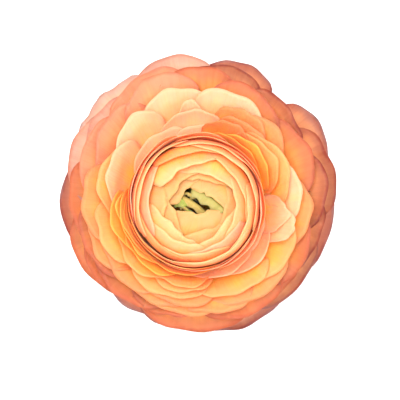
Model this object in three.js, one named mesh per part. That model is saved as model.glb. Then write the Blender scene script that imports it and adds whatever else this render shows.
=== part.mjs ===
// Cut ranunculus bloom, resting face up on its short cut stem and on the tips of its guard petals.
// Millimetres, +Z up. Origin: centre of the footprint, on the surface that the bloom rests on.
//
// The petals lie on a family of nested bowls, or shells. Level 0 is the incurved bowl round the
// green eye and level 1 is the drooping guard row. Two petals on different levels can't cross,
// because no two shells do, and two petals on one level stand clear of each other by azimuth.
import * as THREE from 'three';

// ---- Driving dimensions ----------------------------------------------------------------------
const bloomRadius = 36.5;         // stem axis to the tip of a guard petal
const crownHeight = 29.0;         // underside of the guard row to the rim of the inner cup
const stemRadius = 3.0;
const stemLength = 7.0;           // cut face to the underside of the guard row
const receptacleFlare = 1.3;      // how far the receptacle swells beyond the stem
const receptacleTop = 11.0;       // top of the receptacle above the guard row's underside
const petalThickness = 0.3;
const petalClearance = 0.3;       // petal claw to receptacle
const clawHalfAngle = 13;         // degrees that a claw takes up on each side of its midline
const carpelRadius = 2.4;
const carpelHeight = 5.0;
const petaloidThickness = 0.5;
const sepalLength = 13.0;
const sepalThickness = 0.6;
const sepalHalfAngle = 26;
const sepalDroop = 4.2;           // fall from a sepal's root to its tip
const cupLean = new THREE.Vector2(-0.9, -3.4);   // how far the inner cup leans off the stem axis
const eyeLean = new THREE.Vector2(0.3, -2.4);    // how far the eye leans

// ---- Nested shells ---------------------------------------------------------------------------
// Each row is one shell from claw to tip, as [radius, height] over the guard row's underside, for
// a bloom of the unit sizes below. Rows run from the inner cup out to the guard row.
const unit = { bloomRadius: 35.6, crownHeight: 26.5, stemRadius: 3, stemLength: 7, receptacleTop: 11 };
const shellLevels = [0, 0.2, 0.4, 0.55, 0.7, 0.85, 1];
const shells = [
  [[2.8, 9.5], [7.8, 11.5], [10.6, 17.0], [9.4, 21.6], [4.5, 23.7]],
  [[3.2, 7.6], [9.2, 9.6], [12.6, 15.6], [12.4, 21.6], [9.0, 24.9]],
  [[3.5, 5.8], [10.4, 7.8], [14.5, 13.8], [15.4, 20.2], [13.8, 25.2]],
  [[3.8, 4.4], [11.4, 6.0], [16.6, 11.8], [18.4, 18.6], [19.2, 24.0]],
  [[4.0, 3.1], [12.5, 4.4], [18.8, 9.8], [22.8, 15.2], [27.2, 18.6]],
  [[4.3, 1.7], [13.4, 2.4], [21.4, 6.4], [27.0, 10.2], [32.2, 12.0]],
  [[4.5, 0.4], [14.0, 0.5], [23.5, 1.6], [31.5, -0.5], [35.6, -6.8]],
];

// ---- Petals ----------------------------------------------------------------------------------
// Whorls from the guard row inwards: the shell's level, each petal's share of the shell's length,
// its half width in degrees, and the azimuths of its midlines, counterclockwise from +X.
const whorls = [
  { name: 'guard_petal', level: 1.0, length: 1.0, halfWidth: 26, azimuths: [33, 138, 238, 291] },
  { name: 'outer_petal_a', level: 0.945, length: 1.0, halfWidth: 28, azimuths: [70, 190, 345] },
  { name: 'outer_petal_b', level: 0.89, length: 1.0, halfWidth: 26, azimuths: [14, 103, 162, 265, 320] },
  { name: 'outer_petal_c', level: 0.835, length: 1.0, halfWidth: 27, azimuths: [50, 116, 205, 298, 354] },
  { name: 'middle_petal_a', level: 0.775, length: 1.0, halfWidth: 31, azimuths: [25, 88, 152, 228, 295] },
  { name: 'middle_petal_b', level: 0.705, length: 1.0, halfWidth: 31, azimuths: [60, 126, 198, 262, 335] },
  { name: 'middle_petal_c', level: 0.622, length: 1.0, halfWidth: 32, azimuths: [15, 97, 168, 235, 305] },
  { name: 'inner_petal_a', level: 0.55, length: 1.0, halfWidth: 38, azimuths: [50, 135, 215, 300] },
  { name: 'inner_petal_b', level: 0.47, length: 1.0, halfWidth: 40, azimuths: [5, 95, 180, 262] },
  { name: 'cup_petal_a', level: 0.36, length: 1.0, halfWidth: 54, azimuths: [35, 155, 275] },
  { name: 'cup_petal_b', level: 0.2, length: 1.0, halfWidth: 54, azimuths: [80, 210, 330] },
  { name: 'cup_petal_c', level: 0.04, length: 1.0, halfWidth: 52, azimuths: [40, 150, 268] },
];
const stepsAcross = 6;
const stepsAlong = 6;

// Green petaloids, folded over side by side in the eye. Each claw stands at its own azimuth round
// the carpels. The crest's middle lies along and across the fold from the eye's centre.
const petaloidRing = 3.0;         // claws to the stem's axis
const eyeCrest = 0.7;             // crests' share of the rise from the receptacle to the cup's rim
const foldAzimuth = -36;
const petaloids = [
  { azimuth: 54, along: 1.0, across: 3.0, width: 9.0, fold: -2.6 },
  { azimuth: 274, along: -0.7, across: -0.7, width: 5.4, fold: -0.9 },
  { azimuth: 164, along: -5.0, across: -1.6, width: 2.4, fold: -0.9 },
  { azimuth: 234, along: -0.4, across: -3.0, width: 2.4, fold: -0.7 },
];

// ---- Colours ---------------------------------------------------------------------------------
const guardColour = new THREE.Color(0.85, 0.5, 0.4);
const middleColour = new THREE.Color(0.98, 0.66, 0.36);
const cupColour = new THREE.Color(0.99, 0.84, 0.6);
const sepalColour = new THREE.Color(0.45, 0.55, 0.28);
const stemColour = new THREE.Color(0.5, 0.6, 0.32);
const carpelColour = new THREE.Color(0.45, 0.52, 0.18);
const petaloidColour = new THREE.Color(0.8, 0.78, 0.48);

// ---- Helpers ---------------------------------------------------------------------------------
const degrees = Math.PI / 180;

function matte(color) {
  return new THREE.MeshStandardMaterial({ color, roughness: 0.7, metalness: 0 });
}

// Cubic through p1 and p2 with p0 and p3 beyond them.
function spline(p0, p1, p2, p3, x) {
  const a = 2 * p1;
  const b = p2 - p0;
  const c = 2 * p0 - 5 * p1 + 4 * p2 - p3;
  const d = 3 * p1 - p0 - 3 * p2 + p3;
  return 0.5 * (a + b * x + c * x * x + d * x * x * x);
}

// Radius or height (coordinate 0 or 1) of one listed shell at a share of its length.
function alongShell(shell, coordinate, share) {
  const last = shell.length - 1;
  const i = Math.min(Math.max(Math.floor(share * last), 0), last - 1);
  const p1 = shell[i][coordinate];
  const p2 = shell[i + 1][coordinate];
  const p0 = i > 0 ? shell[i - 1][coordinate] : 2 * p1 - p2;
  const p3 = i + 2 <= last ? shell[i + 2][coordinate] : 2 * p2 - p1;
  return spline(p0, p1, p2, p3, share * last - i);
}

// The same for a shell at any level, by straight blending between the listed shells.
function shellCoordinate(level, coordinate, share) {
  let k = 0;
  while (k < shellLevels.length - 2 && level > shellLevels[k + 1]) {
    k += 1;
  }
  const blend = (level - shellLevels[k]) / (shellLevels[k + 1] - shellLevels[k]);
  const inner = alongShell(shells[k], coordinate, share);
  const outer = alongShell(shells[k + 1], coordinate, share);
  return inner + (outer - inner) * blend;
}

// Point on a shell, with the lean of the inner cup. The claws keep to the receptacle's size.
function shellPoint(level, share, azimuth) {
  const unitClaw = shellCoordinate(level, 0, 0);
  const claw = unitClaw + stemRadius - unit.stemRadius;
  const spread = (bloomRadius - claw) / (unit.bloomRadius - unitClaw);
  const reach = (shellCoordinate(level, 0, share) - unitClaw) * spread;
  const radius = claw + reach;
  const unitRoot = shellCoordinate(level, 1, 0);
  const rise = shellCoordinate(level, 1, share) - unitRoot;
  const lift = rise > 0 ? crownHeight / unit.crownHeight : stemLength / unit.stemLength;
  const height = unitRoot * (receptacleTop / unit.receptacleTop) + rise * lift;
  const fade = Math.exp(-((radius / (0.62 * bloomRadius)) ** 4));
  const lean = fade * THREE.MathUtils.smoothstep(Math.max(reach, rise * lift), 0, 9);
  const offset = eyeLean.clone().lerp(cupLean, THREE.MathUtils.smoothstep(radius, 3, 14));
  return new THREE.Vector3(
    radius * Math.cos(azimuth) + offset.x * lean,
    radius * Math.sin(azimuth) + offset.y * lean,
    height,
  );
}

function shellNormal(level, share, azimuth) {
  const step = 0.002;
  const along = shellPoint(level, share + step, azimuth).sub(shellPoint(level, share - step, azimuth));
  const across = shellPoint(level, share, azimuth + step).sub(shellPoint(level, share, azimuth - step));
  return across.cross(along).normalize();
}

// Closed solid between two facing grids of points, front[j][i] and back[j][i].
function gridSolid(front, back) {
  const rows = front.length;
  const columns = front[0].length;
  const positions = [];
  for (const grid of [front, back]) {
    for (const row of grid) {
      for (const point of row) {
        positions.push(point.x, point.y, point.z);
      }
    }
  }
  const frontAt = (j, i) => j * columns + i;
  const backAt = (j, i) => rows * columns + j * columns + i;
  const index = [];
  const quad = (a, b, c, d) => index.push(a, b, c, a, c, d);
  for (let j = 0; j < rows - 1; j += 1) {
    for (let i = 0; i < columns - 1; i += 1) {
      quad(frontAt(j, i), frontAt(j, i + 1), frontAt(j + 1, i + 1), frontAt(j + 1, i));
      quad(backAt(j, i), backAt(j + 1, i), backAt(j + 1, i + 1), backAt(j, i + 1));
    }
  }
  const last = columns - 1;
  const top = rows - 1;
  for (let i = 0; i < last; i += 1) {
    quad(backAt(0, i), backAt(0, i + 1), frontAt(0, i + 1), frontAt(0, i));
    quad(frontAt(top, i), frontAt(top, i + 1), backAt(top, i + 1), backAt(top, i));
  }
  for (let j = 0; j < top; j += 1) {
    quad(backAt(j + 1, 0), backAt(j, 0), frontAt(j, 0), frontAt(j + 1, 0));
    quad(frontAt(j + 1, last), frontAt(j, last), backAt(j, last), backAt(j + 1, last));
  }
  const geometry = new THREE.BufferGeometry();
  geometry.setAttribute('position', new THREE.Float32BufferAttribute(positions, 3));
  geometry.setIndex(index);
  geometry.computeVertexNormals();
  return geometry;
}

// Blade of even thickness about a mid-surface: middle(v, u) and normal(v, u), with v from claw to
// tip in 0..1 and u from side to side in -1..1.
function bladeSolid(middle, normal, thickness, along, across) {
  const front = [];
  const back = [];
  for (let j = 0; j <= along; j += 1) {
    const frontRow = [];
    const backRow = [];
    for (let i = 0; i <= across; i += 1) {
      const v = j / along;
      const u = (2 * i) / across - 1;
      const offset = normal(v, u).multiplyScalar(thickness / 2);
      frontRow.push(middle(v, u).add(offset));
      backRow.push(middle(v, u).sub(offset));
    }
    front.push(frontRow);
    back.push(backRow);
  }
  return gridSolid(front, back);
}

// Fan-shaped petal with a narrow claw and a round tip, lying on its shell.
function petalGeometry(level, length, halfWidth, azimuth, thickness) {
  const tipShare = (u) => length * (1 - 0.16 * u * u - 0.18 * u ** 6);
  const fan = (v) => Math.sin(Math.min(v * 1.25, 1) * 90 * degrees);
  const halfAngle = (v) => clawHalfAngle + (halfWidth - clawHalfAngle) * fan(v);
  const place = (v, u) => [v * tipShare(u), (azimuth + u * halfAngle(v)) * degrees];
  const middle = (v, u) => shellPoint(level, ...place(v, u));
  const normal = (v, u) => shellNormal(level, ...place(v, u));
  return bladeSolid(middle, normal, thickness, stepsAlong, stepsAcross);
}

// Petaloid that rises from its claw beside the carpels and folds over at the crest.
function petaloidGeometry({ azimuth, along, across, width, fold }) {
  const turn = foldAzimuth * degrees;
  const alongFold = new THREE.Vector3(Math.cos(turn), Math.sin(turn), 0);
  const acrossFold = new THREE.Vector3(-Math.sin(turn), Math.cos(turn), 0);
  const outward = new THREE.Vector3(Math.cos(azimuth * degrees), Math.sin(azimuth * degrees), 0);
  const sideways = new THREE.Vector3(-outward.y, outward.x, 0);
  if (sideways.dot(alongFold) < 0) {
    sideways.negate();
  }
  const clawHeight = receptacleTop - 0.4;
  const crest = eyeCrest * (crownHeight - receptacleTop) + 0.4;
  const middle = (v, u) => {
    const rise = Math.min(v / 0.7, 1);
    const over = THREE.MathUtils.clamp((v - 0.6) / 0.4, 0, 1);
    const swing = THREE.MathUtils.smoothstep(rise, 0.25, 1);
    const claw = outward.clone().multiplyScalar(petaloidRing).addScaledVector(sideways, 0.8 * u);
    const top = new THREE.Vector3(eyeLean.x, eyeLean.y - 0.6, 0);
    top.addScaledVector(alongFold, along + (u * width * (1 - 0.2 * over)) / 2);
    top.addScaledVector(acrossFold, across + fold * (over - 0.2 * over * over));
    const point = claw.lerp(top, swing);
    point.z = clawHeight + crest * (1 - (1 - rise) ** 1.6) - 0.7 * over * over - 0.9 * u * u * swing;
    return point;
  };
  const step = 0.01;
  const normal = (v, u) => {
    const alongBlade = middle(v + step, u).sub(middle(v - step, u));
    const acrossBlade = middle(v, u + step).sub(middle(v, u - step));
    return acrossBlade.cross(alongBlade).normalize();
  };
  return bladeSolid(middle, normal, petaloidThickness, 10, 8);
}

// Surface of revolution from [radius, height] points that start and end on the axis.
function turned(points, sides) {
  const outline = points.map(([radius, height]) => new THREE.Vector2(radius, height));
  const geometry = new THREE.LatheGeometry(outline, sides);
  geometry.rotateX(Math.PI / 2);
  return geometry;
}

// ---- Assembly --------------------------------------------------------------------------------
const flower = new THREE.Group();

function addPiece(name, geometry, color) {
  const mesh = new THREE.Mesh(geometry, matte(color));
  mesh.name = name;
  flower.add(mesh);
  return mesh;
}

// Stem with the swollen receptacle that grows from it. The cone keeps clear of every claw.
const coneBase = stemRadius + receptacleFlare - petalClearance;
const coneTop = stemRadius - 0.5 - petalClearance;
addPiece('stem', turned([
  [0, -stemLength],
  [stemRadius, -stemLength],
  [stemRadius, -2.6],
  [coneBase, -0.8],
  [coneBase, 0.2],
  [coneTop, receptacleTop - 0.3],
  [coneTop - 0.6, receptacleTop],
  [0, receptacleTop],
], 24), stemColour);

// Heap of carpels on top of the receptacle, seen as the green eye.
const carpelSeat = receptacleTop + petalClearance;
addPiece('carpel_heap', turned([
  [0, carpelSeat],
  [0.7 * carpelRadius, carpelSeat],
  [carpelRadius, carpelSeat + 0.35 * carpelHeight],
  [0.75 * carpelRadius, carpelSeat + 0.75 * carpelHeight],
  [0.35 * carpelRadius, carpelSeat + carpelHeight],
  [0, carpelSeat + carpelHeight],
], 16), carpelColour);

petaloids.forEach((petaloid, i) => {
  addPiece(`green_petaloid_${i + 1}`, petaloidGeometry(petaloid), petaloidColour);
});

for (const whorl of whorls) {
  let shade = cupColour.clone().lerp(middleColour, whorl.level / 0.7);
  if (whorl.level > 0.7) {
    shade = middleColour.clone().lerp(guardColour, (whorl.level - 0.7) / 0.3);
  }
  whorl.azimuths.forEach((azimuth, i) => {
    const { name, level, length, halfWidth } = whorl;
    const geometry = petalGeometry(level, length, halfWidth, azimuth, petalThickness);
    addPiece(`${name}_${i + 1}`, geometry, shade);
  });
}

// Five sepals under the guard row, bent back towards the stem.
for (let i = 0; i < 5; i += 1) {
  const azimuth = 20 + 72 * i;
  const root = stemRadius + receptacleFlare + petalClearance;
  const middle = (v, u) => {
    const angle = (azimuth + u * sepalHalfAngle * Math.sqrt(1 - 0.9 * v * v)) * degrees;
    const radius = root + sepalLength * v * (1 - 0.12 * u * u);
    const height = -0.9 - sepalDroop * v * v;
    return new THREE.Vector3(radius * Math.cos(angle), radius * Math.sin(angle), height);
  };
  const normal = () => new THREE.Vector3(0, 0, -1);
  addPiece(`sepal_${i + 1}`, bladeSolid(middle, normal, sepalThickness, 5, 4), sepalColour);
}

// The origin goes to the centre of the footprint, on the resting surface.
const box = new THREE.Box3().setFromObject(flower);
const centre = box.getCenter(new THREE.Vector3());
flower.position.set(-centre.x, -centre.y, -box.min.z);

export default flower;
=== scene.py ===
"""Cut ranunculus bloom, face up on its stem stub, seen from straight above on a pale floor."""

import math

import bpy
import numpy as np
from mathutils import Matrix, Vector


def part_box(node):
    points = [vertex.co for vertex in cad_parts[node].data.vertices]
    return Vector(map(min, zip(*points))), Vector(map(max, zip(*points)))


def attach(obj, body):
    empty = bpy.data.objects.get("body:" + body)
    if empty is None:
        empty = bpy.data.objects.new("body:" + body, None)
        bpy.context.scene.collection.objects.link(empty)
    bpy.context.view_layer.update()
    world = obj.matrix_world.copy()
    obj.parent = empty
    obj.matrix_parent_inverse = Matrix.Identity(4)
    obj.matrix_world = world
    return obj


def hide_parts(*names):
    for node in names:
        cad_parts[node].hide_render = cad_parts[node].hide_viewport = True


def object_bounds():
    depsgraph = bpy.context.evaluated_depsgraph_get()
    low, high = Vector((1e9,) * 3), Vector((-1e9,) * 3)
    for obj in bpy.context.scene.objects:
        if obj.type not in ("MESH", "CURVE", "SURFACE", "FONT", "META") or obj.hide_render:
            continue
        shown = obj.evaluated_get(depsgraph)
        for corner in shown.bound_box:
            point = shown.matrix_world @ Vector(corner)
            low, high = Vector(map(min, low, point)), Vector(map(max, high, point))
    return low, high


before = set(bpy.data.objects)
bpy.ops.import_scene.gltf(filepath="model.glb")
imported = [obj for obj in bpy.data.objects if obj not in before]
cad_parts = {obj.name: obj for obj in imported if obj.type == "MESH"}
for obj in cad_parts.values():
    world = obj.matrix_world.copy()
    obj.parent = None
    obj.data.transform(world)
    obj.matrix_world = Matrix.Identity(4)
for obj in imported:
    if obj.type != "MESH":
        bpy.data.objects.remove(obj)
CAD_LOW, CAD_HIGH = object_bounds()

MM = 0.001

CAMERA_HEIGHT = 0.6
FRAME_WIDTH = 0.1018      # width of the view at the height of the petals' rim
RIM_HEIGHT = 0.012

# ---- Nested shells -------------------------------------------------------------------------
# The petals lie on nested bowls. Level 0 is the incurved bowl round the green eye and level 1 is
# the drooping guard row; the one below 0 is where the innermost petals' edges lean into the eye.
# Each row is one bowl from claw to tip, as (radius, height) in millimetres over the guard row's
# underside.
SHELL_LEVELS = (-0.25, 0.0, 0.2, 0.4, 0.55, 0.7, 0.85, 1.0)
SHELLS = np.array((
    ((2.6, 10.6), (4.8, 12.6), (6.0, 15.8), (5.2, 18.4), (3.0, 19.6)),
    ((2.8, 9.5), (7.8, 11.5), (10.6, 17.0), (9.4, 21.6), (4.5, 23.7)),
    ((3.2, 7.6), (9.2, 9.6), (12.6, 15.6), (12.4, 21.6), (9.0, 24.9)),
    ((3.5, 5.8), (10.4, 7.8), (14.3, 13.8), (15.0, 20.2), (13.5, 25.0)),
    ((3.8, 4.4), (11.4, 6.0), (16.3, 11.4), (17.8, 17.4), (19.2, 22.2)),
    ((4.0, 3.1), (12.5, 4.4), (18.8, 9.4), (22.6, 14.4), (27.2, 17.2)),
    ((4.3, 1.7), (13.4, 2.4), (21.4, 6.4), (27.0, 10.2), (32.2, 12.0)),
    ((4.5, 0.4), (14.0, 0.5), (23.5, 1.6), (31.5, -0.5), (35.6, -6.8)),
))
SHELL_TOP = 26.5          # height of the inner cup's rim in the rows above
SHELL_DROOP = 6.8         # how far the guard row's tips hang below its claws
SHELL_WIDTH = 68.6        # width across the bloom that the rows above give
LEVEL_LIMIT = 1.04        # the furthest that a petal's edge goes past the guard row

CUP_LEAN = (-0.9, -3.4)   # how far the inner cup leans off the stem's axis
EYE_LEAN = (0.3, -2.4)    # how far the eye leans
EYE_REACH = 3.0           # radius up to which a point leans with the eye
CUP_REACH = 14.0          # radius from which a point leans with the cup
LEAN_REACH = 22.6         # radius at which the lean has faded to about a third
LEAN_ONSET = 9.0          # distance from the claw over which the lean sets in

# How the bloom has opened, as (change of level, azimuth, spread in degrees): flatter at the back
# and at the right, steeper on the left. Rows inside OPENING_FROM aren't touched.
OPENING = ((0.075, 98, 42), (0.06, 322, 36), (-0.03, 208, 45))
OPENING_FROM = 0.45

REST_GAP = 0.2 * MM       # between the surface and a petal that rests on it
REST_BEND = 0.5 * MM      # how softly such a petal meets the surface

CAD_PETAL_THICKNESS = 0.3 * MM

stem_low, stem_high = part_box("stem")
AXIS = Vector(((stem_low.x + stem_high.x) / 2, (stem_low.y + stem_high.y) / 2, 0))
RECEPTACLE_TOP = stem_high.z
guard_low = min(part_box(f"guard_petal_{i}")[0].z for i in range(1, 5))
UNDERSIDE = guard_low + SHELL_DROOP * MM + CAD_PETAL_THICKNESS / 2
RISE_SCALE = (CAD_HIGH.z - UNDERSIDE) / (SHELL_TOP * MM)
SPREAD = (CAD_HIGH.x - CAD_LOW.x) / (SHELL_WIDTH * MM)


def smooth(x):
    """Eased step from 0 to 1."""
    x = np.clip(x, 0, 1)
    return x * x * (3 - 2 * x)


def catmull(p0, p1, p2, p3, x):
    """Cubic through p1 and p2 at x in 0..1."""
    return 0.5 * (2 * p1 + (p2 - p0) * x + (2 * p0 - 5 * p1 + 4 * p2 - p3) * x**2
                  + (3 * p1 - p0 - 3 * p2 + p3) * x**3)


def along_shell(rows, share):
    """Radius and height on each point's own row of five (radius, height) pairs."""
    last = rows.shape[-2] - 1
    i = np.clip(np.floor(share * last).astype(int), 0, last - 1)
    x = (share * last - i)[..., None]
    padded = np.concatenate((
        2 * rows[..., :1, :] - rows[..., 1:2, :], rows,
        2 * rows[..., -1:, :] - rows[..., -2:-1, :]), axis=-2)

    def pick(k):
        return np.take_along_axis(padded, (i + k)[..., None, None], axis=-2)[..., 0, :]

    beyond = np.maximum(x - 1, 0)
    on_row = catmull(pick(0), pick(1), pick(2), pick(3), np.minimum(x, 1))
    return on_row + beyond * (pick(2) - pick(1))


def shell_rows(level):
    """The five (radius, height) pairs of the bowl at each level."""
    level = np.clip(level, SHELL_LEVELS[0], LEVEL_LIMIT)
    levels = np.array(SHELL_LEVELS)
    k = np.clip(np.searchsorted(levels, level, side="right") - 1, 0, len(levels) - 2)
    x = ((level - levels[k]) / (levels[k + 1] - levels[k]))[..., None, None]
    return SHELLS[k] * (1 - x) + SHELLS[k + 1] * x


def shell_point(level, share, azimuth):
    """Points on the bowls, in metres in the row frame. All three are arrays of one shape."""
    radius, height = np.moveaxis(along_shell(shell_rows(level), share), -1, 0)
    root = shell_rows(level)[..., 0, :]
    reach = (radius - root[..., 0]) * SPREAD
    radius = root[..., 0] + reach
    rise = height - root[..., 1]
    height = root[..., 1] + rise * np.where(rise > 0, RISE_SCALE, 1.0)
    lean = np.exp(-((radius / LEAN_REACH) ** 4))
    lean = lean * smooth(np.maximum(reach, rise) / LEAN_ONSET)
    outward = smooth((radius - EYE_REACH) / (CUP_REACH - EYE_REACH))
    x = radius * np.cos(azimuth) + (EYE_LEAN[0] + (CUP_LEAN[0] - EYE_LEAN[0]) * outward) * lean
    y = radius * np.sin(azimuth) + (EYE_LEAN[1] + (CUP_LEAN[1] - EYE_LEAN[1]) * outward) * lean
    z = UNDERSIDE + height * MM
    rest = CAD_LOW.z + REST_GAP
    z = rest + np.logaddexp(0, (z - rest) / REST_BEND) * REST_BEND
    return np.stack((AXIS.x + x * MM, AXIS.y + y * MM, z), axis=-1)


def opened(level, azimuth):
    """Level as the bloom has opened at that azimuth."""
    turn = np.degrees(azimuth) % 360
    amount = 0.0
    for change, middle, spread in OPENING:
        away = ((turn - middle + 180) % 360 - 180) / spread
        amount = amount + change * np.exp(-away ** 2)
    between = np.clip((level - OPENING_FROM) / (1 - OPENING_FROM), 0, 1)
    return level + amount * 4 * between * (1 - between)


def tip_share(level, tip_radius):
    """The share of a bowl's length, past its widest place if it curves in, with that radius as
    seen from the camera's height. A share over 1 runs on past the row's last point."""
    shares = np.linspace(0.3, 1.3, 201)
    radii, heights = along_shell(shell_rows(np.full(201, level)), shares).T
    nearer = (CAMERA_HEIGHT - RIM_HEIGHT) / (CAMERA_HEIGHT - UNDERSIDE - heights * MM)
    radii = radii * SPREAD * nearer
    widest = int(np.argmax(np.where(shares < 1.001, radii, 0)))
    curves_in = shares[widest] < 0.949
    if curves_in:
        share = np.interp(-tip_radius, -radii[widest:], shares[widest:])
    else:
        share = np.interp(tip_radius, radii, shares)
    upright = 0.3 < level < 0.58
    return float(min(share, 1.04 if upright else 1.3))


# ---- Meshes --------------------------------------------------------------------------------
PETAL_THICKNESS = 0.22 * MM   # at the claw, thinning to under a third of it at the edge
PETAL_GRID = (22, 18)         # faces across and along a petal
CLAW_HALF_ANGLE = 13          # half width of every petal at its claw, in degrees


def add_object(name, mesh, material, replaces=None):
    """Links a finished piece, which rides on the part's one body."""
    mesh.materials.append(material)
    piece = bpy.data.objects.new(name, mesh)
    bpy.context.scene.collection.objects.link(piece)
    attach(piece, "root")
    if replaces:
        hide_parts(replaces)
    return piece


def sheet_mesh(name, middle, thickness, uv, seed):
    """Closed thin sheet about a grid of points middle[j, i]. thickness is a grid too."""
    rows, columns = middle.shape[:2]
    along = np.gradient(middle, axis=0)
    across = np.gradient(middle, axis=1)
    normal = np.cross(across, along)
    normal = normal / np.maximum(np.linalg.norm(normal, axis=-1, keepdims=True), 1e-12)
    offset = normal * thickness[..., None] / 2
    points = np.concatenate((middle + offset, middle - offset)).reshape(-1, 3)
    at = np.arange(rows * columns).reshape(rows, columns)
    under = at + rows * columns

    faces = []
    for j in range(rows - 1):
        for i in range(columns - 1):
            faces.append((at[j, i], at[j, i + 1], at[j + 1, i + 1], at[j + 1, i]))
            faces.append((under[j, i], under[j + 1, i], under[j + 1, i + 1], under[j, i + 1]))
    for i in range(columns - 1):
        faces.append((under[0, i], under[0, i + 1], at[0, i + 1], at[0, i]))
        faces.append((at[-1, i], at[-1, i + 1], under[-1, i + 1], under[-1, i]))
    for j in range(rows - 1):
        faces.append((under[j + 1, 0], under[j, 0], at[j, 0], at[j + 1, 0]))
        faces.append((at[j + 1, -1], at[j, -1], under[j, -1], under[j + 1, -1]))
    mesh = bpy.data.meshes.new(name)
    mesh.from_pydata(points.tolist(), [], [tuple(int(k) for k in face) for face in faces])

    flat_uv = np.concatenate((uv, uv)).reshape(-1, 2)
    corner = np.zeros(len(mesh.loops), np.int32)
    mesh.loops.foreach_get("vertex_index", corner)
    layer = mesh.uv_layers.new(name="Petal")
    layer.data.foreach_set("uv", flat_uv[corner].astype(np.float32).ravel())
    attribute = mesh.attributes.new("seed", "FLOAT", "POINT")
    attribute.data.foreach_set("value", np.full(len(points), seed, np.float32))
    mesh.shade_smooth()
    return mesh


def petal_mesh(name, petal, rng):
    """A petal on its bowl: narrow claw, fan-shaped blade, round wavy tip. u runs across the
    petal from -1 to 1 and v from the claw to the tip."""
    u, v = np.meshgrid(np.linspace(-1, 1, PETAL_GRID[0] + 1), np.linspace(0, 1, PETAL_GRID[1] + 1))
    wave = rng.uniform(0, 2 * math.pi, 4)
    outline = 1 - petal["round"] * u**2 - petal["corner"] * u**6
    outline = outline + 0.012 * np.sin(5 * u + wave[0]) + 0.008 * np.sin(11 * u + wave[1])
    outline = outline * (1 + petal["skew"] * u)
    share = v * outline * petal["length"]
    fan = np.sin(np.minimum(v * 1.25, 1) * math.pi / 2)
    half_angle = np.radians(CLAW_HALF_ANGLE + (petal["half_width"] - CLAW_HALF_ANGLE) * fan)
    azimuth = math.radians(petal["azimuth"]) + u * half_angle
    ruffle, waves = petal["ruffle"], petal["waves"]
    level = (petal["level"] + petal["slope"] * u * v
             - petal["cup"] * (u * u) * v
             + ruffle * v**3 * np.sin(waves * u + wave[2])
             + 0.4 * ruffle * v**4 * np.sin(2.3 * waves * u + wave[3])
             + petal["curl"] * v**8)
    middle = shell_point(opened(level, azimuth), share, azimuth)
    edge = np.maximum(np.abs(u), v)
    thickness = PETAL_THICKNESS * (1 - 0.7 * edge**8)
    uv = np.stack(((u + 1) / 2, v), axis=-1)
    return sheet_mesh(name, middle, thickness, uv, rng.uniform(0, 10))


# ---- Materials -----------------------------------------------------------------------------
def srgb(red, green, blue):
    """A colour given as the eye sees it, 0 to 255, as the linear values that nodes hold."""
    linear = [(c / 255 / 12.92) if c <= 10 else ((c / 255 + 0.055) / 1.055) ** 2.4
              for c in (red, green, blue)]
    return (*linear, 1.0)


BLACK = (0, 0, 0, 1)
WHITE = (1, 1, 1, 1)


class Nodes:
    """Shorthand for building one material's node tree."""

    def __init__(self, name):
        self.material = bpy.data.materials.new(name)
        self.material.use_nodes = True
        self.tree = self.material.node_tree
        self.tree.nodes.clear()

    def add(self, kind, **settings):
        node = self.tree.nodes.new(kind)
        for key, value in settings.items():
            setattr(node, key, value)
        return node

    def link(self, source, target):
        self.tree.links.new(source, target)

    def put(self, value, socket):
        """Feeds a socket with another socket or with a plain value."""
        if isinstance(value, bpy.types.NodeSocket):
            self.link(value, socket)
        else:
            socket.default_value = value

    def math(self, operation, a, b=0.0, clamp=False):
        node = self.add("ShaderNodeMath", operation=operation, use_clamp=clamp)
        self.put(a, node.inputs[0])
        self.put(b, node.inputs[1])
        return node.outputs[0]

    def mix(self, factor, a, b, blend="MIX"):
        node = self.add("ShaderNodeMix", data_type="RGBA", blend_type=blend)
        self.put(factor, node.inputs["Factor"])
        self.put(a, node.inputs["A"])
        self.put(b, node.inputs["B"])
        return node.outputs["Result"]

    def ramp(self, value, stops, ease="EASE"):
        node = self.add("ShaderNodeValToRGB")
        node.color_ramp.interpolation = ease
        elements = node.color_ramp.elements
        elements[0].position, elements[0].color = stops[0]
        elements[1].position, elements[1].color = stops[-1]
        for position, colour in stops[1:-1]:
            elements.new(position).color = colour
        self.put(value, node.inputs["Fac"])
        return node.outputs["Color"]

    def noise(self, vector, scale, detail=3.0, roughness=0.55):
        node = self.add("ShaderNodeTexNoise")
        node.inputs["Scale"].default_value = scale
        node.inputs["Detail"].default_value = detail
        node.inputs["Roughness"].default_value = roughness
        self.put(vector, node.inputs["Vector"])
        return node.outputs["Fac"]

    def finish(self, colour, roughness, bump=None, distance=0.1, glow=None, glow_share=0.0, **plain):
        """Principled surface. bump is a height and distance its depth in millimetres; glow is
        the colour of the share of light that is let through."""
        surface = self.add("ShaderNodeBsdfPrincipled")
        self.put(colour, surface.inputs["Base Color"])
        self.put(roughness, surface.inputs["Roughness"])
        for key, value in plain.items():
            surface.inputs[key.replace("_", " ")].default_value = value
        if bump is not None:
            node = self.add("ShaderNodeBump")
            node.inputs["Distance"].default_value = distance * MM
            node.inputs["Strength"].default_value = 0.6
            self.put(bump, node.inputs["Height"])
            self.link(node.outputs["Normal"], surface.inputs["Normal"])
        shader = surface.outputs[0]
        if glow is not None:
            through = self.add("ShaderNodeBsdfTranslucent")
            self.put(glow, through.inputs["Color"])
            both = self.add("ShaderNodeMixShader")
            both.inputs["Fac"].default_value = glow_share
            self.link(shader, both.inputs[1])
            self.link(through.outputs[0], both.inputs[2])
            shader = both.outputs[0]
        output = self.add("ShaderNodeOutputMaterial")
        self.link(shader, output.inputs["Surface"])
        return self.material


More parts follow.
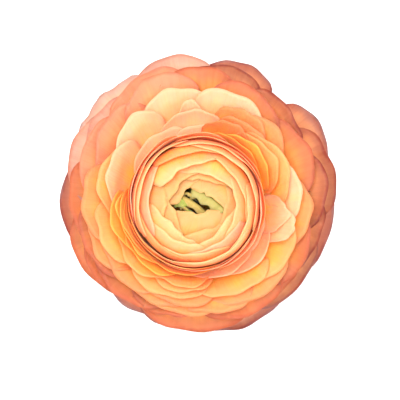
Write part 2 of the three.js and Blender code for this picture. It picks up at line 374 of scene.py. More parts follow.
def petal_material(name, claw_and_shade, middle, tip, rim, rim_strength, glow, glow_share, rim_from):
    """Petal skin: colour deepens from tip to claw, partly the petal's own colour and partly painted
    shade where the next petal overlaps it, with lengthwise veins, mottling and a rim.
    """
    n = Nodes(name)
    uv = n.add("ShaderNodeUVMap", uv_map="Petal")
    split = n.add("ShaderNodeSeparateXYZ")
    n.link(uv.outputs[0], split.inputs[0])
    across, along = split.outputs[0], split.outputs[1]
    seed = n.add("ShaderNodeAttribute", attribute_name="seed").outputs["Fac"]
    position = n.add("ShaderNodeTexCoord").outputs["Object"]

    streak_at = n.add("ShaderNodeCombineXYZ")
    n.link(n.math("MULTIPLY", across, 34.0), streak_at.inputs[0])
    n.link(n.math("MULTIPLY", along, 1.7), streak_at.inputs[1])
    n.link(seed, streak_at.inputs[2])
    streaks = n.noise(streak_at.outputs[0], 1.0, 4.0, 0.6)
    broad_at = n.add("ShaderNodeCombineXYZ")
    n.link(n.math("MULTIPLY", across, 7.0), broad_at.inputs[0])
    n.link(n.math("MULTIPLY", along, 1.1), broad_at.inputs[1])
    n.link(n.math("ADD", seed, 4.0), broad_at.inputs[2])
    broad = n.noise(broad_at.outputs[0], 1.0, 2.0)
    mottle = n.noise(position, 260.0, 4.0)

    shifted = n.math("ADD", along, n.math("MULTIPLY", n.math("SUBTRACT", broad, 0.5), 0.36))
    # Partly painted shade: the claw's deeper colour runs up to where the next petal overlaps and
    # shades this one.
    body = n.ramp(shifted, [(0.45, claw_and_shade), (0.74, middle), (0.95, tip)])
    side = n.math("ABSOLUTE", n.math("SUBTRACT", across, 0.5))
    edge = n.math("MAXIMUM", n.math("MULTIPLY", side, 2.0), along)
    edge = n.math("ADD", edge, n.math("MULTIPLY", n.math("SUBTRACT", mottle, 0.5), 0.10))
    rim_mid = 0.35 * rim_from + 0.65
    rim_mask = n.ramp(edge, [(rim_from, BLACK), (rim_mid, (0.4, 0.4, 0.4, 1)), (1.0, WHITE)])
    rim_mask = n.math("MULTIPLY", rim_mask, rim_strength)
    blotch = n.ramp(n.noise(position, 75.0, 3.0), [(0.46, BLACK), (0.66, WHITE)])
    body = n.mix(n.math("MULTIPLY", blotch, 0.2), body, rim)
    colour = n.mix(rim_mask, body, rim)
    vein = n.ramp(streaks, [(0.36, WHITE), (0.55, BLACK)])
    colour = n.mix(n.math("MULTIPLY", vein, 0.16), colour, rim)
    light = n.ramp(streaks, [(0.52, BLACK), (0.72, WHITE)])
    colour = n.mix(n.math("MULTIPLY", light, 0.2), colour, tip)
    tint = n.ramp(mottle, [(0.3, (0.985, 0.93, 0.88, 1)), (0.7, WHITE)])
    colour = n.mix(1.0, colour, tint, "MULTIPLY")
    roughness = n.math("ADD", 0.46, n.math("MULTIPLY", mottle, 0.2))
    height = n.math("ADD", streaks, n.math("MULTIPLY", mottle, 0.35))
    return n.finish(colour, roughness, height, 0.22, glow, glow_share,
                    Subsurface_Weight=0.35, Subsurface_Radius=(1.0, 0.6, 0.35),
                    Subsurface_Scale=0.4 * MM, Sheen_Weight=0.12, Sheen_Roughness=0.4,
                    Specular_IOR_Level=0.3)


# Each kind of skin: its colour at the claw, middle, tip and rim; how strong the rim is; the colour
# and the share of the light that is let through; and where the rim begins, as a share of the way to
# the edge. The claw colour, which runs up to where the next petal overlaps, is partly painted shade.
PETAL_SKINS = {
    # These two skins, for the outer rows, are partly the petals' own deeper colour and partly painted
    # shade, darkening towards the tip and rim where the petals droop away.
    "dusky_shaded": ((240, 160, 92), (218, 148, 98), (190, 118, 86), (112, 38, 36),
              1.0, (240, 144, 90), 0.3, 0.8),
    "rust_shaded": ((246, 172, 78), (214, 150, 92), (186, 124, 86), (112, 46, 40),
             1.0, (246, 150, 84), 0.3, 0.84),
    "pink": ((246, 178, 122), (222, 176, 144), (212, 180, 158), (160, 104, 92),
             0.8, (250, 174, 124), 0.3, 0.8),
    "blush": ((255, 190, 92), (238, 172, 118), (220, 162, 124), (184, 108, 84),
              0.8, (250, 170, 110), 0.3, 0.8),
    "salmon": ((255, 184, 62), (232, 160, 86), (206, 140, 94), (156, 78, 58),
               0.9, (252, 170, 74), 0.3, 0.78),
    "peach": ((255, 208, 68), (255, 194, 94), (250, 184, 116), (230, 146, 94),
              0.75, (255, 190, 60), 0.3, 0.84),
    "coral": ((255, 202, 60), (248, 180, 90), (234, 166, 104), (206, 122, 82),
              0.8, (255, 180, 66), 0.3, 0.84),
    # apricot and light are partly the petals' own colours and partly painted light and shade. The
    # pale light skin stands in for light on rows at the back and lower right; the deeper apricot,
    # mostly on the lower left, stands in for the colour of shade there.
    "apricot": ((255, 214, 52), (255, 206, 74), (254, 194, 96), (240, 158, 80),
                0.7, (255, 196, 50), 0.3, 0.84),
    "light": ((255, 212, 92), (254, 206, 152), (248, 198, 162), (236, 160, 122),
              0.55, (255, 204, 116), 0.3, 0.84),
    "cup": ((255, 210, 56), (255, 198, 104), (252, 200, 146), (240, 170, 118),
            0.6, (255, 204, 80), 0.3, 0.84),
    "heart": ((232, 188, 74), (240, 178, 100), (244, 182, 128), (190, 158, 88),
              0.6, (230, 196, 90), 0.3, 0.84),
}
PETALOID_SKINS = {
    "green": ((124, 130, 50), (178, 168, 94), (194, 180, 116), (138, 128, 62),
              0.5, (180, 200, 90), 0.2, 0.84),
    "olive": ((96, 84, 20), (184, 160, 84), (214, 190, 122), (140, 120, 50),
              0.4, (180, 170, 70), 0.15, 0.84),
    "leafy": ((96, 110, 26), (158, 164, 76), (198, 196, 118), (126, 136, 50),
              0.4, (160, 200, 70), 0.15, 0.84),
}
MATERIALS = {}
for prefix, skins in (("petal", PETAL_SKINS), ("petaloid", PETALOID_SKINS)):
    for key, (claw_and_shade, middle, tip, rim, strength, glow, glow_share, rim_from) in skins.items():
        MATERIALS[key] = petal_material(f"{prefix}_{key}", srgb(*claw_and_shade), srgb(*middle), srgb(*tip),
                                        srgb(*rim), strength, srgb(*glow), glow_share, rim_from)


def carpel_material():
    """Green skin with fine fibres and a waxy bloom. Its dark green is partly the carpels' own colour
    and partly painted shade of the deep eye they sit in.
    """
    n = Nodes("carpel_green")
    position = n.add("ShaderNodeTexCoord").outputs["Object"]
    stretch = n.add("ShaderNodeMapping")
    stretch.inputs["Scale"].default_value = (1.0, 1.0, 0.25)
    n.link(position, stretch.inputs["Vector"])
    fibres = n.noise(stretch.outputs[0], 2400.0, 5.0)
    mottle = n.noise(position, 840.0, 3.0)
    # Partly painted shade: the carpels are coloured darker green because the eye they sit in lies in
    # shade.
    colour = n.mix(fibres, srgb(70, 92, 22), srgb(166, 190, 84))
    shade = n.ramp(mottle, [(0.3, (0.8, 0.84, 0.7, 1)), (0.7, WHITE)])
    colour = n.mix(0.8, colour, shade, "MULTIPLY")
    roughness = n.math("ADD", 0.4, n.math("MULTIPLY", mottle, 0.3))
    return n.finish(colour, roughness, fibres, 0.15, Specular_IOR_Level=0.4)


STEM_RADIUS = 3.0 * MM


def stem_material():
    """Green fluted skin with fibres. The cut face shows pale pith and a ring of darker bundles."""
    n = Nodes("stem_green")
    position = n.add("ShaderNodeTexCoord").outputs["Object"]
    place = n.add("ShaderNodeVectorMath", operation="SUBTRACT")
    n.link(position, place.inputs[0])
    place.inputs[1].default_value = (AXIS.x, AXIS.y, stem_low.z)
    split = n.add("ShaderNodeSeparateXYZ")
    n.link(place.outputs[0], split.inputs[0])
    x, y, up = split.outputs
    radius = n.math("SQRT", n.math("ADD", n.math("MULTIPLY", x, x), n.math("MULTIPLY", y, y)))
    share = n.math("DIVIDE", radius, STEM_RADIUS)
    stretch = n.add("ShaderNodeMapping")
    stretch.inputs["Scale"].default_value = (1.0, 1.0, 0.12)
    n.link(position, stretch.inputs["Vector"])
    fibres = n.noise(stretch.outputs[0], 2600.0, 5.0)
    mottle = n.noise(position, 700.0, 3.0)
    skin = n.mix(fibres, srgb(96, 126, 54), srgb(164, 184, 104))
    flush = n.ramp(n.math("DIVIDE", up, 8 * MM), [(0.1, (1.0, 0.96, 0.84, 1)), (0.8, WHITE)])
    skin = n.mix(1.0, skin, flush, "MULTIPLY")
    uneven = n.math("ADD", share, n.math("MULTIPLY", n.math("SUBTRACT", mottle, 0.5), 0.1))
    pith = n.ramp(uneven, [(0.0, srgb(214, 220, 170)), (0.55, srgb(226, 228, 186)),
                           (0.74, srgb(168, 182, 112)), (0.84, srgb(206, 212, 156)),
                           (0.95, srgb(120, 146, 72))])
    cut = n.math("MULTIPLY", n.math("LESS_THAN", up, 0.16 * MM), n.math("LESS_THAN", share, 0.97))
    colour = n.mix(cut, skin, pith)
    roughness = n.math("ADD", 0.4, n.math("MULTIPLY", mottle, 0.3))
    return n.finish(colour, roughness, fibres, 0.15, Specular_IOR_Level=0.4)


def sepal_material():
    """Green sepal with a pale margin and lengthwise veins, flushed at the tip."""
    n = Nodes("sepal_green")
    uv = n.add("ShaderNodeUVMap", uv_map="Petal")
    split = n.add("ShaderNodeSeparateXYZ")
    n.link(uv.outputs[0], split.inputs[0])
    across, along = split.outputs[0], split.outputs[1]
    position = n.add("ShaderNodeTexCoord").outputs["Object"]
    mottle = n.noise(position, 900.0, 4.0)
    seed = n.add("ShaderNodeAttribute", attribute_name="seed").outputs["Fac"]
    vein_at = n.add("ShaderNodeCombineXYZ")
    n.link(n.math("MULTIPLY", across, 20.0), vein_at.inputs[0])
    n.link(n.math("MULTIPLY", along, 1.5), vein_at.inputs[1])
    n.link(seed, vein_at.inputs[2])
    veins = n.noise(vein_at.outputs[0], 1.0, 3.0)
    body = n.ramp(along, [(0.0, srgb(150, 170, 92)), (0.5, srgb(118, 144, 66)),
                          (1.0, srgb(150, 138, 70))])
    dark = n.ramp(veins, [(0.4, WHITE), (0.56, BLACK)])
    colour = n.mix(n.math("MULTIPLY", dark, 0.45), body, srgb(84, 110, 44))
    side = n.math("MULTIPLY", n.math("ABSOLUTE", n.math("SUBTRACT", across, 0.5)), 2.0)
    edge = n.math("MAXIMUM", side, along)
    margin = n.ramp(edge, [(0.82, BLACK), (1.0, (0.8, 0.8, 0.8, 1))])
    colour = n.mix(margin, colour, srgb(196, 200, 140))
    tint = n.ramp(mottle, [(0.3, (0.86, 0.88, 0.78, 1)), (0.7, WHITE)])
    colour = n.mix(1.0, colour, tint, "MULTIPLY")
    roughness = n.math("ADD", 0.5, n.math("MULTIPLY", mottle, 0.25))
    height = n.math("ADD", veins, n.math("MULTIPLY", mottle, 0.4))
    return n.finish(colour, roughness, height, 0.2, srgb(150, 180, 70), 0.12, Specular_IOR_Level=0.35)


MATERIALS["stem"] = stem_material()
MATERIALS["sepal"] = sepal_material()
MATERIALS["carpel"] = carpel_material()


# ---- Petals --------------------------------------------------------------------------------
# One row a petal: the CAD node that it stands for, or None for a petal between those; its skin;
# level; azimuth of its midline in degrees, counterclockwise from +X; half width in degrees; tip
# radius in millimetres, as seen from above; and what sets it apart from its group's habit:
#   slope         change of level from one side to the other, so that a side tucks under
#   skew          how much longer one side is than the other
#   round, corner how much shorter the sides are than the midline, evenly and at the corners
#   ruffle, waves height of the rim's waves, as a change of level, and how close they come
#   cup           how far both sides stand in from the midline's level
#   curl          how far the tip bends out, or in if it is negative
#   length        share of the bowl's length, in place of the one that the tip radius gives
OPEN_PETALS = (
    # guard row and the first outer row, drooping; their dark skins are partly painted shade
    ("guard_petal_1", "dusky_shaded", 1.0, 28, 19, 35.6, {"ruffle": 0.014}),
    ("guard_petal_2", "pink", 1.0, 138, 25, 35.2, {"ruffle": 0.02, "waves": 9}),
    ("guard_petal_3", "dusky_shaded", 1.0, 238, 27, 34.2, {}),
    ("guard_petal_4", "dusky_shaded", 1.0, 291, 26, 36.0, {"ruffle": 0.014}),
    ("outer_petal_a_1", "dusky_shaded", 0.955, 71, 20, 35.2, {}),
    ("outer_petal_a_2", "dusky_shaded", 0.955, 188, 28, 35.4, {"ruffle": 0.012}),
    ("outer_petal_a_3", "dusky_shaded", 0.955, 345, 27, 35.2, {"ruffle": 0.014}),
    # the other outer rows
    ("outer_petal_b_1", "rust_shaded", 0.91, 10, 27, 35.2, {"ruffle": 0.012}),
    ("outer_petal_b_2", "pink", 0.90, 103, 22, 35.8, {}),
    ("outer_petal_b_3", "pink", 0.91, 162, 27, 34.6, {"ruffle": 0.01}),
    ("outer_petal_b_4", "salmon", 0.90, 267, 30, 35.6, {}),
    ("outer_petal_b_5", "rust_shaded", 0.92, 318, 27, 35.2, {"ruffle": 0.012}),
    (None, "salmon", 0.925, 212, 27, 35.4, {}),
    (None, "rust_shaded", 0.875, 340, 25, 33.2, {"ruffle": 0.012}),
    (None, "salmon", 0.875, 232, 27, 33.4, {}),
    (None, "salmon", 0.875, 185, 26, 33.4, {}),
    (None, "rust_shaded", 0.88, 77, 25, 33.4, {}),
    (None, "rust_shaded", 0.945, 262, 24, 35.2, {"ruffle": 0.012}),
    (None, "salmon", 0.895, 220, 22, 34.2, {"ruffle": 0.012}),
    (None, "salmon", 0.865, 252, 22, 32.8, {"ruffle": 0.012}),
    (None, "salmon", 0.865, 312, 22, 33.0, {}),
    (None, "pink", 0.87, 142, 22, 33.2, {}),
    (None, "coral", 0.805, 208, 22, 30.8, {}),
    (None, "coral", 0.805, 280, 24, 31.4, {}),
    (None, "coral", 0.80, 246, 22, 30.4, {}),
    ("outer_petal_c_1", "rust_shaded", 0.85, 46, 26, 32.0, {}),
    ("outer_petal_c_2", "blush", 0.855, 119, 27, 33.6, {}),
    ("outer_petal_c_3", "salmon", 0.845, 207, 26, 32.4, {}),
    ("outer_petal_c_4", "salmon", 0.85, 292, 27, 33.8, {}),
    ("outer_petal_c_5", "rust_shaded", 0.845, 4, 26, 33.0, {"ruffle": 0.012}),
    (None, "blush", 0.82, 160, 28, 32.0, {}),
    (None, "coral", 0.82, 262, 27, 31.6, {}),
    (None, "salmon", 0.82, 326, 27, 32.2, {}),
    (None, "salmon", 0.825, 90, 24, 32.6, {}),
    # middle rows
    ("middle_petal_a_1", "salmon", 0.79, 24, 29, 30.4, {"ruffle": 0.012}),
    ("middle_petal_a_2", "blush", 0.79, 113, 25, 32.0, {}),
    ("middle_petal_a_3", "blush", 0.785, 146, 29, 30.0, {}),
    ("middle_petal_a_4", "coral", 0.785, 226, 28, 29.6, {}),
    ("middle_petal_a_5", "coral", 0.785, 302, 30, 30.8, {}),
    (None, "salmon", 0.77, 60, 25, 30.2, {}),
    (None, "coral", 0.765, 188, 28, 29.8, {}),
    (None, "coral", 0.76, 258, 26, 29.0, {}),
    (None, "coral", 0.76, 350, 25, 29.2, {}),
    ("middle_petal_b_1", "light", 0.735, 68, 24, 27.8, {"corner": 0.10}),
    ("middle_petal_b_2", "light", 0.74, 104, 24, 27.8, {"corner": 0.10, "round": 0.08}),
    ("middle_petal_b_3", "peach", 0.73, 206, 26, 27.6, {}),
    ("middle_petal_b_4", "peach", 0.73, 250, 27, 27.4, {}),
    ("middle_petal_b_5", "peach", 0.735, 320, 29, 28.4, {"skew": 0.06}),
    (None, "coral", 0.72, 42, 24, 26.4, {}),
    (None, "light", 0.70, 138, 26, 26.0, {}),
    (None, "peach", 0.692, 172, 27, 25.8, {}),
    (None, "light", 0.70, 5, 24, 26.4, {}),
    (None, "peach", 0.725, 292, 27, 27.2, {}),
    (None, "coral", 0.69, 58, 22, 25.2, {}),
    ("middle_petal_c_1", "peach", 0.66, 26, 30, 24.2, {}),
    (None, "light", 0.68, 95, 11, 24.8, {"round": 0.3}),
    ("middle_petal_c_2", "light", 0.655, 94, 25, 22.6, {"round": 0.10}),
    ("middle_petal_c_3", "light", 0.66, 164, 28, 24.0, {}),
    ("middle_petal_c_4", "peach", 0.66, 226, 27, 24.4, {}),
    ("middle_petal_c_5", "light", 0.66, 312, 30, 22.6, {}),
    (None, "peach", 0.675, 258, 24, 24.8, {}),
    (None, "peach", 0.635, 256, 25, 23.0, {}),
    (None, "light", 0.665, 343, 15, 26.0, {"ruffle": 0.009, "waves": 7, "round": 0.24}),
    (None, "light", 0.64, 350, 16, 23.6, {"ruffle": 0.009, "waves": 7, "round": 0.26}),
    (None, "coral", 0.64, 54, 24, 23.2, {}),
    (None, "peach", 0.62, 34, 28, 22.4, {}),
    (None, "coral", 0.60, 62, 24, 21.4, {}),
    (None, "apricot", 0.62, 200, 28, 22.6, {}),
    (None, "apricot", 0.60, 228, 28, 21.6, {}),
    # upright rows round the cup
    ("inner_petal_a_1", "apricot", 0.575, 40, 30, 20.4, {}),
    ("inner_petal_a_2", "light", 0.605, 128, 34, 19.4, {"curl": 0.02}),
    ("inner_petal_a_3", "apricot", 0.566, 206, 34, 20.6, {}),
    ("inner_petal_a_4", "light", 0.60, 288, 34, 19.8, {"curl": 0.02}),
    (None, "apricot", 0.55, 200, 34, 19.6, {}),
    (None, "light", 0.61, 84, 30, 19.2, {"curl": 0.02}),
    (None, "apricot", 0.54, 52, 28, 18.8, {}),
    (None, "apricot", 0.54, 252, 32, 19.0, {}),
    (None, "apricot", 0.536, 204, 34, 18.6, {}),
    (None, "light", 0.585, 326, 34, 18.6, {"curl": 0.02}),
    (None, "apricot", 0.522, 198, 34, 17.8, {}),
    ("inner_petal_b_1", "cup", 0.512, 18, 38, 17.4, {}),
    ("inner_petal_b_2", "light", 0.525, 104, 36, 17.2, {"curl": 0.02}),
    ("inner_petal_b_3", "apricot", 0.508, 192, 36, 17.0, {}),
    ("inner_petal_b_4", "light", 0.512, 272, 38, 17.4, {}),
)

# The collar: eight broad petals round the cup, all on one bowl, each with a side under the next.
COLLAR = {"slope": -0.026, "round": 0.15, "corner": 0.15, "ruffle": 0.003}
CUP_PETALS = (
    # collar
    (None, "peach", 0.472, 24, 48, 17.0, dict(COLLAR, length=0.98)),
    (None, "peach", 0.472, 66, 48, 16.6, dict(COLLAR, length=1.0)),
    (None, "light", 0.472, 110, 48, 16.4, dict(COLLAR, length=0.97)),
    (None, "light", 0.472, 154, 48, 16.6, dict(COLLAR, length=1.0)),
    (None, "apricot", 0.472, 200, 48, 16.8, dict(COLLAR, length=0.98)),
    (None, "apricot", 0.472, 244, 48, 16.6, dict(COLLAR, length=1.0)),
    (None, "light", 0.472, 288, 48, 17.2, dict(COLLAR, length=0.98)),
    (None, "light", 0.472, 334, 48, 16.6, dict(COLLAR, length=1.0)),
    # incurved rows of the cup
    (None, "cup", 0.440, 66, 48, 15.8, {"slope": -0.026, "round": 0.16}),
    (None, "cup", 0.442, 158, 50, 15.9, {"slope": -0.026, "round": 0.16}),
    (None, "cup", 0.440, 240, 50, 16.1, {"slope": -0.026, "round": 0.18}),
    (None, "cup", 0.440, 330, 50, 16.1, {"slope": -0.026, "round": 0.16}),
    ("cup_petal_a_1", "cup", 0.42, 35, 60, 13.8, {}),
    ("cup_petal_a_2", "cup", 0.42, 155, 58, 14.0, {}),
    ("cup_petal_a_3", "cup", 0.42, 275, 60, 14.2, {}),
    (None, "peach", 0.38, 95, 42, 12.6, {}),
    (None, "peach", 0.375, 218, 46, 13.6, {}),
    (None, "cup", 0.385, 338, 44, 13.0, {}),
    (None, "cup", 0.34, 262, 48, 12.6, {}),
    (None, "cup", 0.33, 25, 48, 12.2, {}),
    (None, "light", 0.32, 175, 42, 11.6, {}),
    (None, "light", 0.29, 295, 46, 11.2, {}),
    (None, "cup", 0.28, 110, 44, 9.8, {}),
    (None, "cup", 0.255, 240, 46, 10.2, {}),
    (None, "cup", 0.24, 350, 50, 9.8, {}),
    ("cup_petal_b_1", "cup", 0.195, 70, 50, 7.8, {}),
    ("cup_petal_b_2", "cup", 0.20, 225, 46, 8.4, {}),
    ("cup_petal_b_3", "cup", 0.20, 312, 46, 8.4, {}),
    # heart of the cup, round the eye
    (None, "heart", 0.165, 178, 32, 8.2, {"slope": 0.02}),
    (None, "heart", 0.15, 130, 54, 6.8, {}),
    (None, "heart", 0.12, 80, 50, 6.0, {}),
    (None, "heart", 0.12, 282, 50, 7.0, {}),
    (None, "heart", 0.115, 200, 46, 6.6, {}),
    (None, "heart", 0.075, 340, 56, 6.8, {}),
    ("cup_petal_c_1", "heart", 0.035, 54, 70, 2.7, {"round": 0.04, "corner": 0.13}),
    ("cup_petal_c_2", "heart", 0.03, 131, 52, 4.8, {"round": 0.02, "corner": 0.06}),
    ("cup_petal_c_3", "heart", 0.03, 268, 76, 2.8, {"round": 0.04, "corner": 0.14}),
)

# How the petals of each group usually are, and how far each one varies from that at random.
OPEN_HABIT = (("slope", -0.012, 0.008), ("skew", 0.0, 0.03), ("round", 0.15, 0.04),
              ("corner", 0.16, 0.06), ("ruffle", 0.008, 0.003))
INCURVED_HABIT = (("skew", 0.0, 0.035), ("slope", -0.022, 0.010), ("round", 0.10, 0.0),
                  ("corner", 0.04, 0.0), ("ruffle", 0.005, 0.0))
OUTER_LEVEL = 0.8         # petals from this level outward bend in a little at the tip
OUTER_CURL = -0.007

# Folded green petaloids, standing side by side across the eye: the CAD node, skin, place of the
# blade's middle from the eye's centre along and across the fold, length, height of the crest over
# the receptacle, how far the crest folds over, and its ruffle, all in millimetres.
EYE_CENTRE = (0.0, -3.0)  # from the stem's axis
FOLD_AZIMUTH = -36.0      # direction of the folds, in degrees
PETALOID_THICKNESS = 0.42 * MM
PETALOIDS = (
    ("green_petaloid_1", "green", 1.2, 3.1, 10.4, 13.2, -3.4, 0.4),
    ("green_petaloid_2", "olive", -0.7, -0.6, 8.0, 12.8, -1.9, 0.15),
    ("green_petaloid_3", "leafy", -4.4, -1.6, 4.2, 12.6, -2.2, 0.35),
    ("green_petaloid_4", "leafy", -0.2, -2.9, 3.2, 12.4, -1.0, 0.35),
    (None, "olive", -2.2, -2.9, 2.4, 12.0, -0.8, 0.2),
    (None, "olive", -3.4, 0.6, 2.6, 12.3, -0.9, 0.2),
    (None, "leafy", -5.2, -3.2, 2.4, 12.2, -0.9, 0.25),
)


def make_petals(rows, group, habit, cup):
    """One petal for each row. Its random draws depend on its group and place in the table."""
    for number, (node, skin, level, azimuth, half_width, tip_radius, extra) in enumerate(rows, 1):
        name = f"{node}_fine" if node else f"{group}_{number:02d}"
        rng = np.random.default_rng(1000 * len(group) + number)
        vary = rng.uniform(-1, 1, 5)
        at_midline = float(opened(level, math.radians(azimuth)))
        petal = {"level": level, "azimuth": azimuth, "half_width": half_width,
                 "length": tip_share(at_midline, tip_radius), "cup": cup, "waves": 5.0,
                 "curl": OUTER_CURL if level > OUTER_LEVEL else 0.0}
        for (key, usual, spread), draw in zip(habit, vary):
            petal[key] = usual + spread * draw
        petal.update(extra)
        mesh = petal_mesh(name, petal, rng)
        add_object(name, mesh, MATERIALS[skin], node)


def make_petaloids():
    """Blades that rise from the receptacle and fold over at the crest like a half-closed leaf."""
    turn = math.radians(FOLD_AZIMUTH)
    along_fold = np.array((math.cos(turn), math.sin(turn), 0))
    over_fold = np.array((-math.sin(turn), math.cos(turn), 0))
    u, v = np.meshgrid(np.linspace(-1, 1, 25), np.linspace(0, 1, 25))
    rise = np.minimum(v / 0.72, 1)             # full height is reached at 0.72 of the length
    over = np.clip((v - 0.62) / 0.38, 0, 1)    # and the fold starts at 0.62
    width = 0.35 + 0.65 * np.sin(np.minimum(rise * 1.2, 1) * math.pi / 2)
    thickness = PETALOID_THICKNESS * (1 - 0.4 * v**4)
    uv = np.stack(((u + 1) / 2, v), axis=-1)
    origin = (AXIS.x + EYE_CENTRE[0] * MM, AXIS.y + EYE_CENTRE[1] * MM, RECEPTACLE_TOP + 0.2 * MM)
    for number, (node, skin, shift, side, length, crest, fold, ruffle) in enumerate(PETALOIDS):
        wave = ruffle * over * np.sin(7 * u + number)
        bow = 0.5 * (1 - u * u) * rise
        place_along = shift * rise + u * length / 2 * width * (1 - 0.25 * over)
        place_across = side * (0.75 + 0.25 * rise) + bow + fold * (over - 0.2 * over**2) + wave
        height = crest * (1 - (1 - rise) ** 1.6) - 0.7 * over**2 - 0.7 * u * u * rise + wave
        middle = (place_along[..., None] * along_fold + place_across[..., None] * over_fold) * MM
        middle[..., 0] += origin[0]
        middle[..., 1] += origin[1]
        middle[..., 2] += origin[2] + height * MM
        name = f"{node}_fine" if node else f"petaloid_{number}"
        mesh = sheet_mesh(name, middle, thickness, uv, float(number))
        add_object(name, mesh, MATERIALS[skin], node)


make_petals(OPEN_PETALS, "open_petal", OPEN_HABIT, cup=0.015)
make_petals(CUP_PETALS, "cup_petal", INCURVED_HABIT, cup=0.0)
make_petaloids()


# ---- Stem, sepals and carpels --------------------------------------------------------------
RIDGES = 9                     # shallow flutes round the stem
STEM_COLUMNS = 72
SEPAL_THICKNESS = 0.45 * MM
SEPAL_HALF_ANGLE = 26.0        # half width of a sepal at its widest, in degrees
SEPAL_ROOT = 4.7 * MM          # radius at which a sepal starts
CAD_SEPAL_ROOT = 4.6 * MM      # radius from which the middle of its CAD box gives its reach
FIRST_SEPAL = 20               # azimuth of the first sepal, in degrees
CARPELS = 64
CARPEL_RADIUS = 0.42 * MM
CARPEL_LENGTH = 0.9 * MM
BEAK_LENGTH = 0.25 * MM
GOLDEN_ANGLE = math.radians(137.508)


def make_stem():
    """Fluted stem with a rounded cut edge, a swelling under the petals and a tapering receptacle,
    as rings from the cut face up."""
    flare_z = UNDERSIDE - 1.2 * MM
    # (share of the stem's radius, height) of each ring
    rows = (
        (0.0, stem_low.z + 0.25 * MM), (0.45, stem_low.z + 0.2 * MM), (0.8, stem_low.z + 0.1 * MM),
        (0.95, stem_low.z), (1.0, stem_low.z + 0.25 * MM), (0.97, stem_low.z + 1.6 * MM),
        (0.96, (stem_low.z + flare_z) / 2), (1.0, flare_z - 1.3 * MM), (1.16, flare_z - 0.5 * MM),
        (1.3, flare_z), (1.26, UNDERSIDE), (1.02, (UNDERSIDE + RECEPTACLE_TOP) / 2),
        (0.72, RECEPTACLE_TOP - 0.3 * MM), (0.5, RECEPTACLE_TOP), (0.0, RECEPTACLE_TOP),
    )
    around = np.linspace(0, 2 * math.pi, STEM_COLUMNS + 1)
    share, height = np.array(rows).T
    flute = 0.018 * np.cos(RIDGES * around) + 0.01 * np.sin(4 * around)
    fluted = np.where((height > stem_low.z + 0.1 * MM) & (height < flare_z), 1.0, 0.3)
    radius = STEM_RADIUS * share[:, None] * (1 + fluted[:, None] * flute[None, :])
    grid = np.stack((AXIS.x + radius * np.cos(around), AXIS.y + radius * np.sin(around),
                     np.repeat(height[:, None], STEM_COLUMNS + 1, axis=1)), axis=-1)
    points, faces = [], []
    for j in range(1, len(rows) - 1):
        points.extend(grid[j, :STEM_COLUMNS].tolist())
    bottom, top = len(points), len(points) + 1
    points.append([AXIS.x, AXIS.y, height[0]])
    points.append([AXIS.x, AXIS.y, height[-1]])
    for j in range(len(rows) - 3):
        row = j * STEM_COLUMNS
        above = row + STEM_COLUMNS
        for i in range(STEM_COLUMNS):
            k = (i + 1) % STEM_COLUMNS
            faces.append((row + i, row + k, above + k, above + i))
    last = (len(rows) - 3) * STEM_COLUMNS
    for i in range(STEM_COLUMNS):
        k = (i + 1) % STEM_COLUMNS
        faces.append((bottom, k, i))
        faces.append((top, last + i, last + k))
    mesh = bpy.data.meshes.new("stem_fine")
    mesh.from_pydata(points, [], faces)
    mesh.shade_smooth()
    add_object("stem_fine", mesh, MATERIALS["stem"], "stem")


def make_sepals():
    """Five thin sepals bent back under the guard row, pointed, cupped and veined."""
    u, v = np.meshgrid(np.linspace(-1, 1, 17), np.linspace(0, 1, 21))
    width = 0.62 + 0.38 * np.sin(np.minimum(v * 1.8, 1) * 1.57)
    width = np.sqrt(np.clip(1 - 0.97 * v**3, 0, 1)) * width
    half_angle = np.radians(SEPAL_HALF_ANGLE) * width
    trough = 0.9 * MM * (1 - u * u) * np.sin(math.pi * np.minimum(v + 0.15, 1))
    thickness = SEPAL_THICKNESS * (1 - 0.6 * np.maximum(np.abs(u), v) ** 4)
    uv = np.stack(((u + 1) / 2, v), axis=-1)
    for number in range(5):
        low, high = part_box(f"sepal_{number + 1}")
        azimuth = math.radians(FIRST_SEPAL + 72 * number)
        box_middle = Vector(((low.x + high.x) / 2, (low.y + high.y) / 2, 0))
        reach = (box_middle - AXIS).length * 2 - CAD_SEPAL_ROOT
        rng = np.random.default_rng(70 + number)
        vary = rng.uniform(-1, 1, 3)
        radius = SEPAL_ROOT + (reach - SEPAL_ROOT) * v * (1 - 0.10 * u * u)
        angle = azimuth + u * half_angle + 0.05 * vary[0] * v
        wave = 0.22 * MM * np.sin(6 * v + 3 * vary[1]) * u
        drop = (high.z - low.z - 1.2 * MM) * v**1.8
        height = high.z - 0.35 * MM - drop - trough * 0.5 + wave
        height = np.maximum(height, CAD_LOW.z + 0.4 * MM)
        middle = np.stack((AXIS.x + radius * np.cos(angle), AXIS.y + radius * np.sin(angle),
                           height), axis=-1)
        name = f"sepal_{number + 1}_fine"
        mesh = sheet_mesh(name, middle, thickness, uv, float(number))
        add_object(name, mesh, MATERIALS["sepal"], f"sepal_{number + 1}")


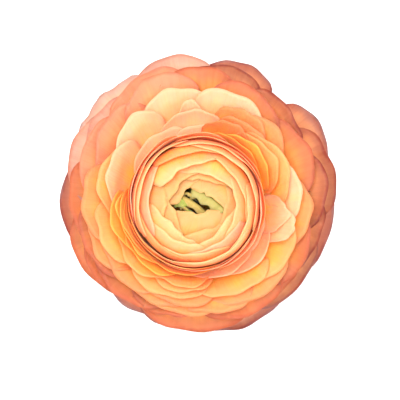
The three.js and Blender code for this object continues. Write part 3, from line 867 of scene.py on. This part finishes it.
def make_carpels():
    """A heap of small beaked carpels, set in a spiral over a dome."""
    low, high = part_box("carpel_heap")
    middle = (low + high) / 2
    dome = Vector(((high.x - low.x) / 2 - 0.5 * MM, (high.y - low.y) / 2 - 0.5 * MM,
                   (high.z - low.z) - 1.0 * MM))
    points, faces = [], []
    around, up = 8, 6     # faces round and along a carpel
    for k in range(CARPELS):
        lift = 1 - (k + 0.5) / CARPELS
        turn = k * GOLDEN_ANGLE
        out = math.sqrt(1 - lift * lift)
        centre = Vector((middle.x + dome.x * out * math.cos(turn),
                         middle.y + dome.y * out * math.sin(turn),
                         low.z + 0.3 * MM + dome.z * lift))
        normal = Vector((out * math.cos(turn), out * math.sin(turn), 0.35 + lift)).normalized()
        side = normal.cross(Vector((0, 0, 1)))
        side = side.normalized() if side.length > 1e-4 else Vector((1, 0, 0))
        other = normal.cross(side)
        start = len(points)
        for j in range(up + 1):
            t = j / up
            size = CARPEL_RADIUS * math.sin(math.pi * min(0.12 + 0.8 * t, 1)) + 0.02 * MM
            beak = t * CARPEL_LENGTH + BEAK_LENGTH * max(t - 0.7, 0) / 0.3 - 0.35 * MM
            for i in range(around):
                a = 2 * math.pi * i / around
                ring = side * (size * math.cos(a)) + other * (size * math.sin(a) * 1.25)
                points.append(tuple(centre + ring + normal * beak))
        for j in range(up):
            for i in range(around):
                m = (i + 1) % around
                row = start + j * around
                faces.append((row + i, row + m, row + around + m, row + around + i))
        faces.append(tuple(start + i for i in reversed(range(around))))
        faces.append(tuple(start + up * around + i for i in range(around)))
    mesh = bpy.data.meshes.new("carpel_heap_fine")
    mesh.from_pydata(points, [], faces)
    mesh.shade_smooth()
    add_object("carpel_heap_fine", mesh, MATERIALS["carpel"], "carpel_heap")


make_stem()
make_sepals()
make_carpels()

# ---- Floor, light and camera ---------------------------------------------------------------
FLOOR_GAP = 0.2 * MM
SENSOR_WIDTH = 36
VIEW_SHIFT = (0.4 * MM, -1.2 * MM)   # from the bloom's middle to the view's

floor_mesh = bpy.data.meshes.new("floor")
floor_mesh.from_pydata([(-1, -1, 0), (1, -1, 0), (1, 1, 0), (-1, 1, 0)], [], [(0, 1, 2, 3)])
floor = bpy.data.objects.new("floor", floor_mesh)
bpy.context.scene.collection.objects.link(floor)
floor.location.z = CAD_LOW.z - FLOOR_GAP
paper = Nodes("floor_paper")
paper_at = paper.add("ShaderNodeTexCoord").outputs["Object"]
grain = paper.noise(paper_at, 120.0)
floor_mesh.materials.append(paper.finish(
    paper.mix(grain, (0.93, 0.93, 0.93, 1), (0.95, 0.95, 0.95, 1)), 0.8, grain))


def area_light(name, place, size, energy, colour):
    """Round soft light at a place, turned to the origin."""
    light = bpy.data.lights.new(name, "AREA")
    light.shape = "DISK"
    light.size, light.energy, light.color = size, energy, colour
    lamp = bpy.data.objects.new(name, light)
    lamp.location = place
    lamp.rotation_euler = (-Vector(place)).to_track_quat("-Z", "Y").to_euler()
    bpy.context.scene.collection.objects.link(lamp)


area_light("key", (-0.14, 0.2, 1.3), 0.9, 24.0, (1.0, 0.99, 0.96))
area_light("fill", (0.8, -0.5, 1.1), 1.2, 7.0, (1.0, 0.99, 0.98))

world = bpy.data.worlds.new("studio")
world.use_nodes = True
background = world.node_tree.nodes["Background"]
background.inputs["Color"].default_value = WHITE
background.inputs["Strength"].default_value = 1.3
bpy.context.scene.world = world
bpy.context.scene.view_settings.view_transform = "Standard"
bpy.context.scene.view_settings.look = "None"
bpy.context.scene.cycles.max_bounces = 16
bpy.context.scene.cycles.diffuse_bounces = 12

camera_data = bpy.data.cameras.new("camera")
camera = bpy.data.objects.new("camera", camera_data)
bpy.context.scene.collection.objects.link(camera)
bpy.context.scene.camera = camera
camera_data.sensor_width = SENSOR_WIDTH
camera_data.lens = SENSOR_WIDTH * (CAMERA_HEIGHT - RIM_HEIGHT) / FRAME_WIDTH
centre = (CAD_LOW + CAD_HIGH) / 2
camera.location = (centre.x + VIEW_SHIFT[0], centre.y + VIEW_SHIFT[1], CAMERA_HEIGHT)
camera.rotation_euler = (0, 0, 0)
